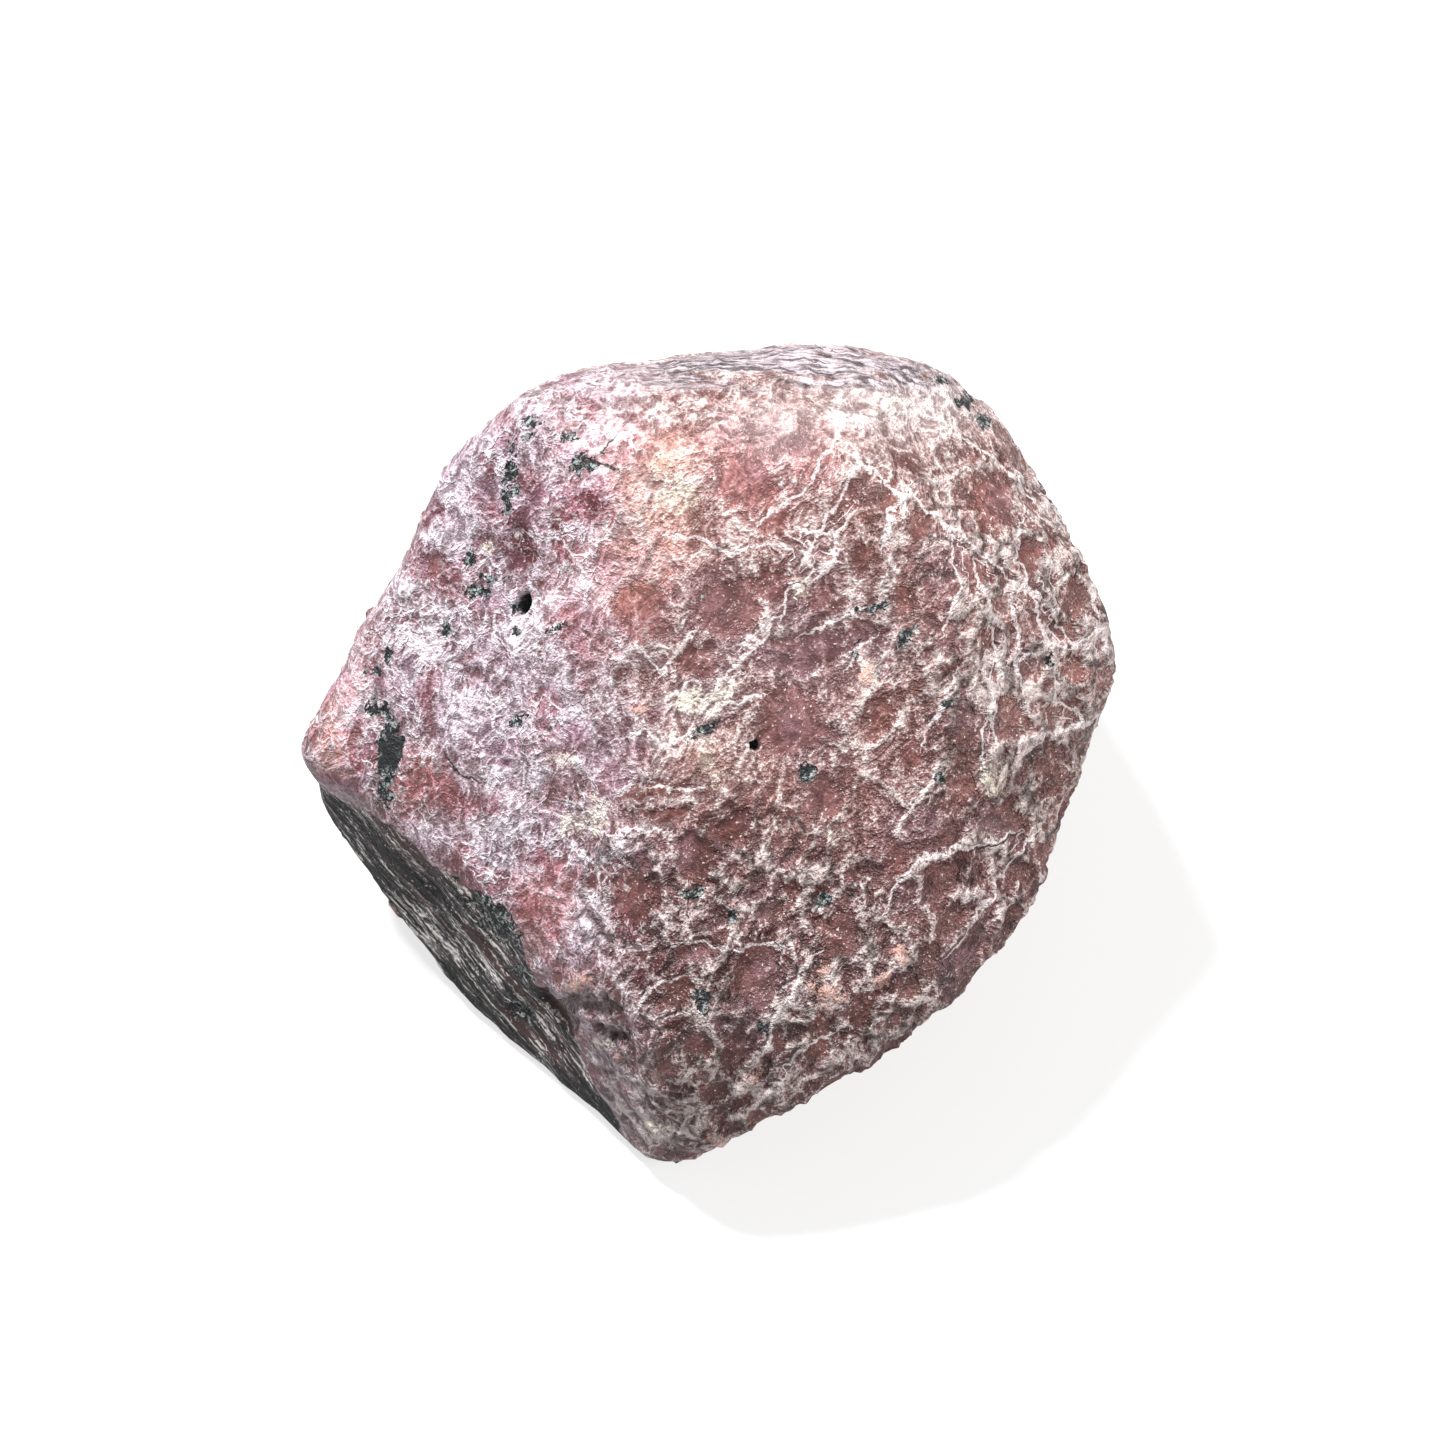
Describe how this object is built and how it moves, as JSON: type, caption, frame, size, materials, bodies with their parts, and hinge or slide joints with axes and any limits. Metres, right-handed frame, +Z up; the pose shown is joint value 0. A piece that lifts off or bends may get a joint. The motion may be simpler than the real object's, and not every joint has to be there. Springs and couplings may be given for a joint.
{
  "type": "rough ruby crystal",
  "caption": "Opaque rough ruby: a stubby six-sided corundum crystal, worn, ledged and pitted, lying on a broken face; a loose mineral specimen.",
  "frame": {"origin": "middle of the crystal's outline in plan, on the surface that it lies on", "axes": "+Z up from the surface that it lies on; +X along its longest extent, to the right when seen from the front; the front is at -Y, where the crown slopes down and the dark side shows at the left"},
  "size_m": [0.0514, 0.0454, 0.0385],
  "materials": {
    "ruby": "worn, frosted and flecked; opaque brownish rose with whitish crests and small black and green grains"
  },
  "bodies": {
    "root": {"ruby_crystal": "ruby"}
  },
  "joints": []
}
